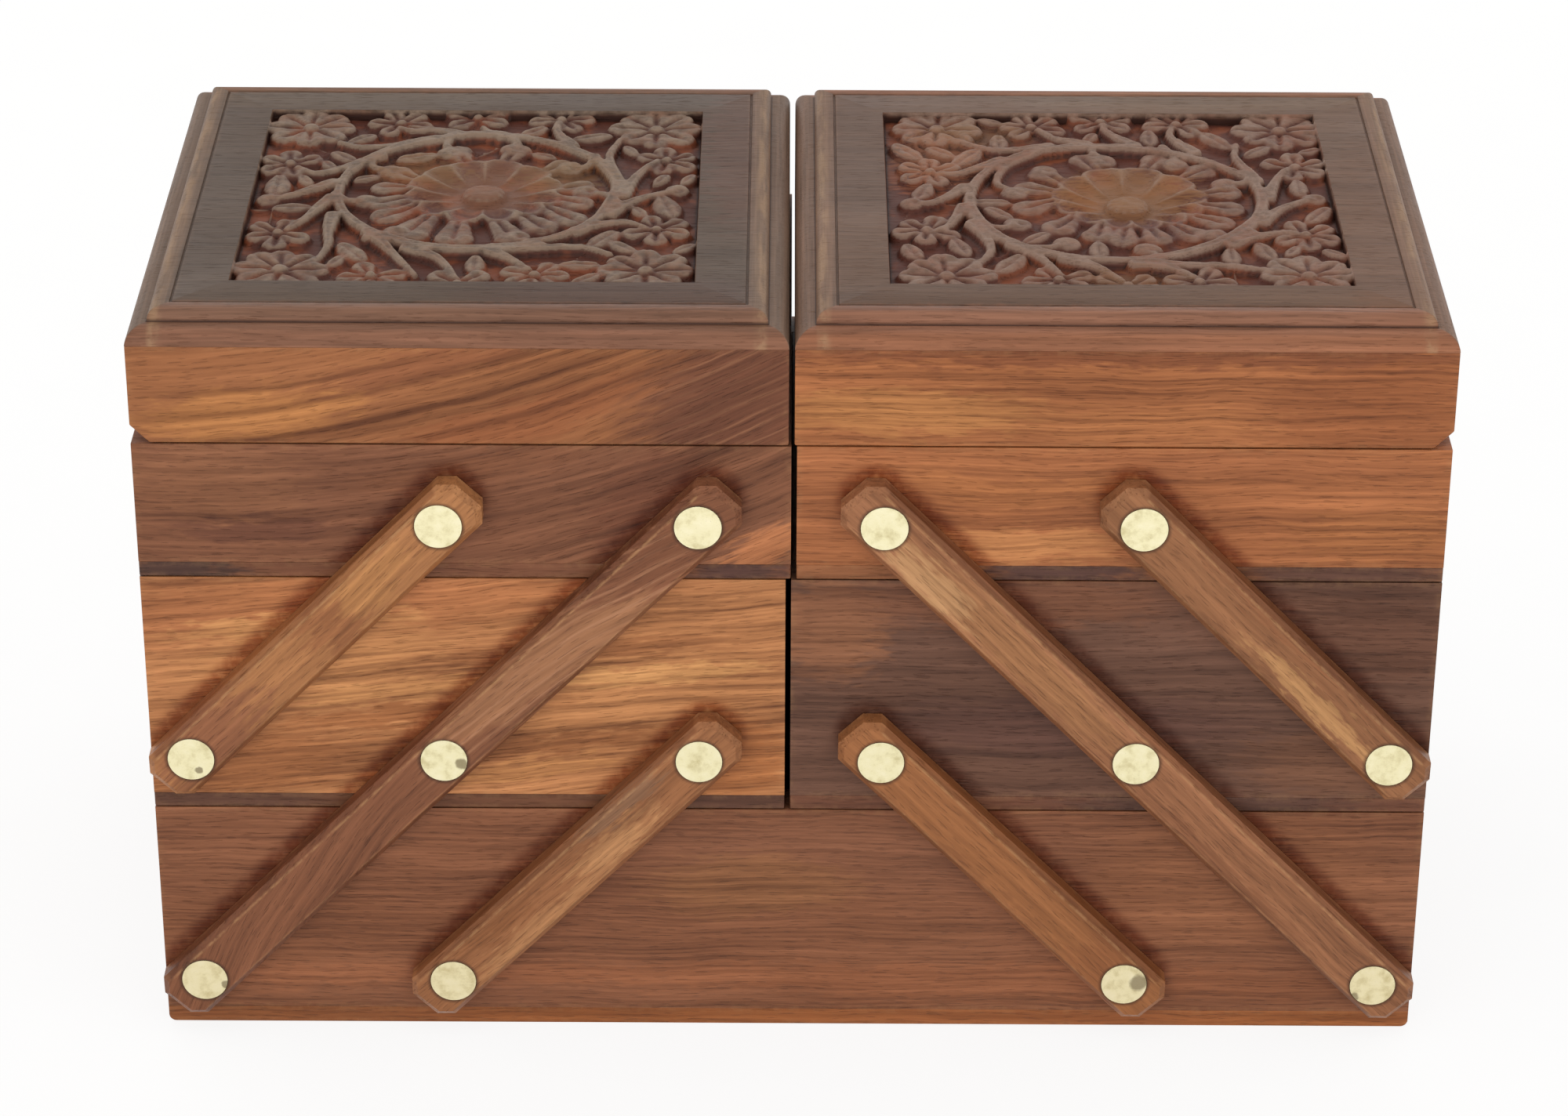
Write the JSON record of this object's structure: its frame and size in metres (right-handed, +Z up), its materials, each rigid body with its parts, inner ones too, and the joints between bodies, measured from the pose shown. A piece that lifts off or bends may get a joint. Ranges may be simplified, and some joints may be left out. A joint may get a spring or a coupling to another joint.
{
  "type": "cantilever jewelry box",
  "caption": "Wooden jewelry box with carved hinged lids and stacked trays that swing up and outwards on link arms with flush brass discs.",
  "frame": {"origin": "bottom centre of the closed box, on the surface that it stands on", "axes": "+X to the right as seen from the front, +Y towards the back, +Z up"},
  "size_m": [0.254, 0.1324, 0.1586],
  "materials": {
    "base_rosewood": "oiled and waxed, satin",
    "base_board_rosewood": "oiled and waxed, satin",
    "dark_rosewood": "oiled and waxed, satin",
    "arm_rosewood": "oiled and waxed, satin",
    "left_middle_rosewood": "oiled and waxed, satin",
    "right_middle_rosewood": "oiled and waxed, satin",
    "left_top_rosewood": "oiled and waxed, satin",
    "right_top_rosewood": "oiled and waxed, satin",
    "left_lid_rosewood": "oiled and waxed, satin",
    "right_lid_rosewood": "oiled and waxed, satin",
    "left_lid_board_rosewood": "oiled and waxed, satin",
    "right_lid_board_rosewood": "oiled and waxed, satin",
    "disc_brass": "worn satin",
    "hinge_brass": "worn satin",
    "felt": "matt napped felt"
  },
  "bodies": {
    "base": {"base_bottom": "base_board_rosewood", "base_front_wall": "base_rosewood", "base_back_wall": "base_rosewood", "base_end_walls": "base_rosewood", "base_lining": "felt", "base_pivot_pins": "disc_brass"},
    "left_middle_tray": {"left_middle_tray_bottom": "dark_rosewood", "left_middle_tray_front_wall": "left_middle_rosewood", "left_middle_tray_back_wall": "left_middle_rosewood", "left_middle_tray_end_walls": "left_middle_rosewood", "left_middle_tray_lining": "felt", "left_middle_tray_pivot_pins": "disc_brass"},
    "left_top_tray": {"left_top_tray_bottom": "dark_rosewood", "left_top_tray_front_wall": "left_top_rosewood", "left_top_tray_back_wall": "left_top_rosewood", "left_top_tray_end_walls": "left_top_rosewood", "left_top_tray_lining": "felt", "left_top_tray_pivot_pins": "disc_brass", "left_hinge_tray_leaves": "hinge_brass", "left_hinge_pins": "hinge_brass", "left_hinge_tray_screws": "hinge_brass"},
    "left_lid": {"left_lid_front_rail": "left_lid_rosewood", "left_lid_back_rail": "left_lid_rosewood", "left_lid_end_rails": "left_lid_rosewood", "left_lid_carved_board": "left_lid_board_rosewood", "left_hinge_lid_leaves": "hinge_brass", "left_hinge_lid_screws": "hinge_brass"},
    "left_long_arm_front": {"left_long_arm_front": "arm_rosewood"},
    "left_long_arm_back": {"left_long_arm_back": "arm_rosewood"},
    "left_lower_arm_front": {"left_lower_arm_front": "arm_rosewood"},
    "left_lower_arm_back": {"left_lower_arm_back": "arm_rosewood"},
    "left_upper_arm_front": {"left_upper_arm_front": "arm_rosewood"},
    "left_upper_arm_back": {"left_upper_arm_back": "arm_rosewood"},
    "right_middle_tray": {"right_middle_tray_bottom": "dark_rosewood", "right_middle_tray_front_wall": "right_middle_rosewood", "right_middle_tray_back_wall": "right_middle_rosewood", "right_middle_tray_end_walls": "right_middle_rosewood", "right_middle_tray_lining": "felt", "right_middle_tray_pivot_pins": "disc_brass"},
    "right_top_tray": {"right_top_tray_bottom": "dark_rosewood", "right_top_tray_front_wall": "right_top_rosewood", "right_top_tray_back_wall": "right_top_rosewood", "right_top_tray_end_walls": "right_top_rosewood", "right_top_tray_lining": "felt", "right_top_tray_pivot_pins": "disc_brass", "right_hinge_tray_leaves": "hinge_brass", "right_hinge_pins": "hinge_brass", "right_hinge_tray_screws": "hinge_brass"},
    "right_lid": {"right_lid_front_rail": "right_lid_rosewood", "right_lid_back_rail": "right_lid_rosewood", "right_lid_end_rails": "right_lid_rosewood", "right_lid_carved_board": "right_lid_board_rosewood", "right_hinge_lid_leaves": "hinge_brass", "right_hinge_lid_screws": "hinge_brass"},
    "right_long_arm_front": {"right_long_arm_front": "arm_rosewood"},
    "right_long_arm_back": {"right_long_arm_back": "arm_rosewood"},
    "right_lower_arm_front": {"right_lower_arm_front": "arm_rosewood"},
    "right_lower_arm_back": {"right_lower_arm_back": "arm_rosewood"},
    "right_upper_arm_front": {"right_upper_arm_front": "arm_rosewood"},
    "right_upper_arm_back": {"right_upper_arm_back": "arm_rosewood"}
  },
  "joints": [
    {"name": "left_trays_open", "type": "hinge", "parent": "base", "child": "left_long_arm_front", "pos_m": [-0.1185, -0.06365, 0.0132], "axis": [0, -1, 0], "range_deg": [0, 88.03]},
    {"name": "left_long_arm_back_turn", "type": "hinge", "parent": "base", "child": "left_long_arm_back", "pos_m": [-0.1185, 0.06365, 0.0132], "axis": [0, -1, 0], "range_deg": [0, 88.03]},
    {"name": "left_lower_arm_front_turn", "type": "hinge", "parent": "base", "child": "left_lower_arm_front", "pos_m": [-0.06806, -0.06365, 0.0132], "axis": [0, -1, 0], "range_deg": [0, 88.03]},
    {"name": "left_lower_arm_back_turn", "type": "hinge", "parent": "base", "child": "left_lower_arm_back", "pos_m": [-0.06806, 0.06365, 0.0132], "axis": [0, -1, 0], "range_deg": [0, 88.03]},
    {"name": "left_middle_tray_level", "type": "hinge", "parent": "left_long_arm_front", "child": "left_middle_tray", "pos_m": [-0.06844, -0.06365, 0.065], "axis": [0, -1, 0], "range_deg": [-88.03, 0]},
    {"name": "left_top_tray_level", "type": "hinge", "parent": "left_long_arm_front", "child": "left_top_tray", "pos_m": [-0.018, -0.06365, 0.1172], "axis": [0, -1, 0], "range_deg": [-88.03, 0]},
    {"name": "left_upper_arm_front_turn", "type": "hinge", "parent": "left_middle_tray", "child": "left_upper_arm_front", "pos_m": [-0.1185, -0.06365, 0.065], "axis": [0, -1, 0], "range_deg": [0, 88.03]},
    {"name": "left_upper_arm_back_turn", "type": "hinge", "parent": "left_middle_tray", "child": "left_upper_arm_back", "pos_m": [-0.1185, 0.06365, 0.065], "axis": [0, -1, 0], "range_deg": [0, 88.03]},
    {"name": "left_lid_open", "type": "hinge", "parent": "left_top_tray", "child": "left_lid", "pos_m": [-0.1254, 0, 0.1323], "axis": [0, -1, 0], "range_deg": [0, 105]},
    {"name": "right_trays_open", "type": "hinge", "parent": "base", "child": "right_long_arm_front", "pos_m": [0.1185, -0.06365, 0.0132], "axis": [0, 1, 0], "range_deg": [0, 88.03]},
    {"name": "right_long_arm_back_turn", "type": "hinge", "parent": "base", "child": "right_long_arm_back", "pos_m": [0.1185, 0.06365, 0.0132], "axis": [0, 1, 0], "range_deg": [0, 88.03]},
    {"name": "right_lower_arm_front_turn", "type": "hinge", "parent": "base", "child": "right_lower_arm_front", "pos_m": [0.06806, -0.06365, 0.0132], "axis": [0, 1, 0], "range_deg": [0, 88.03]},
    {"name": "right_lower_arm_back_turn", "type": "hinge", "parent": "base", "child": "right_lower_arm_back", "pos_m": [0.06806, 0.06365, 0.0132], "axis": [0, 1, 0], "range_deg": [0, 88.03]},
    {"name": "right_middle_tray_level", "type": "hinge", "parent": "right_long_arm_front", "child": "right_middle_tray", "pos_m": [0.06844, -0.06365, 0.065], "axis": [0, 1, 0], "range_deg": [-88.03, 0]},
    {"name": "right_top_tray_level", "type": "hinge", "parent": "right_long_arm_front", "child": "right_top_tray", "pos_m": [0.018, -0.06365, 0.1172], "axis": [0, 1, 0], "range_deg": [-88.03, 0]},
    {"name": "right_upper_arm_front_turn", "type": "hinge", "parent": "right_middle_tray", "child": "right_upper_arm_front", "pos_m": [0.1185, -0.06365, 0.065], "axis": [0, 1, 0], "range_deg": [0, 88.03]},
    {"name": "right_upper_arm_back_turn", "type": "hinge", "parent": "right_middle_tray", "child": "right_upper_arm_back", "pos_m": [0.1185, 0.06365, 0.065], "axis": [0, 1, 0], "range_deg": [0, 88.03]},
    {"name": "right_lid_open", "type": "hinge", "parent": "right_top_tray", "child": "right_lid", "pos_m": [0.1254, 0, 0.1323], "axis": [0, 1, 0], "range_deg": [0, 105]}
  ],
  "couplings": [
    {"joint": "left_long_arm_back_turn", "follows": "left_trays_open", "ratio": 1},
    {"joint": "left_lower_arm_front_turn", "follows": "left_trays_open", "ratio": 1},
    {"joint": "left_lower_arm_back_turn", "follows": "left_trays_open", "ratio": 1},
    {"joint": "left_middle_tray_level", "follows": "left_trays_open", "ratio": -1},
    {"joint": "left_top_tray_level", "follows": "left_trays_open", "ratio": -1},
    {"joint": "left_upper_arm_front_turn", "follows": "left_trays_open", "ratio": 1},
    {"joint": "left_upper_arm_back_turn", "follows": "left_trays_open", "ratio": 1},
    {"joint": "right_long_arm_back_turn", "follows": "right_trays_open", "ratio": 1},
    {"joint": "right_lower_arm_front_turn", "follows": "right_trays_open", "ratio": 1},
    {"joint": "right_lower_arm_back_turn", "follows": "right_trays_open", "ratio": 1},
    {"joint": "right_middle_tray_level", "follows": "right_trays_open", "ratio": -1},
    {"joint": "right_top_tray_level", "follows": "right_trays_open", "ratio": -1},
    {"joint": "right_upper_arm_front_turn", "follows": "right_trays_open", "ratio": 1},
    {"joint": "right_upper_arm_back_turn", "follows": "right_trays_open", "ratio": 1}
  ]
}
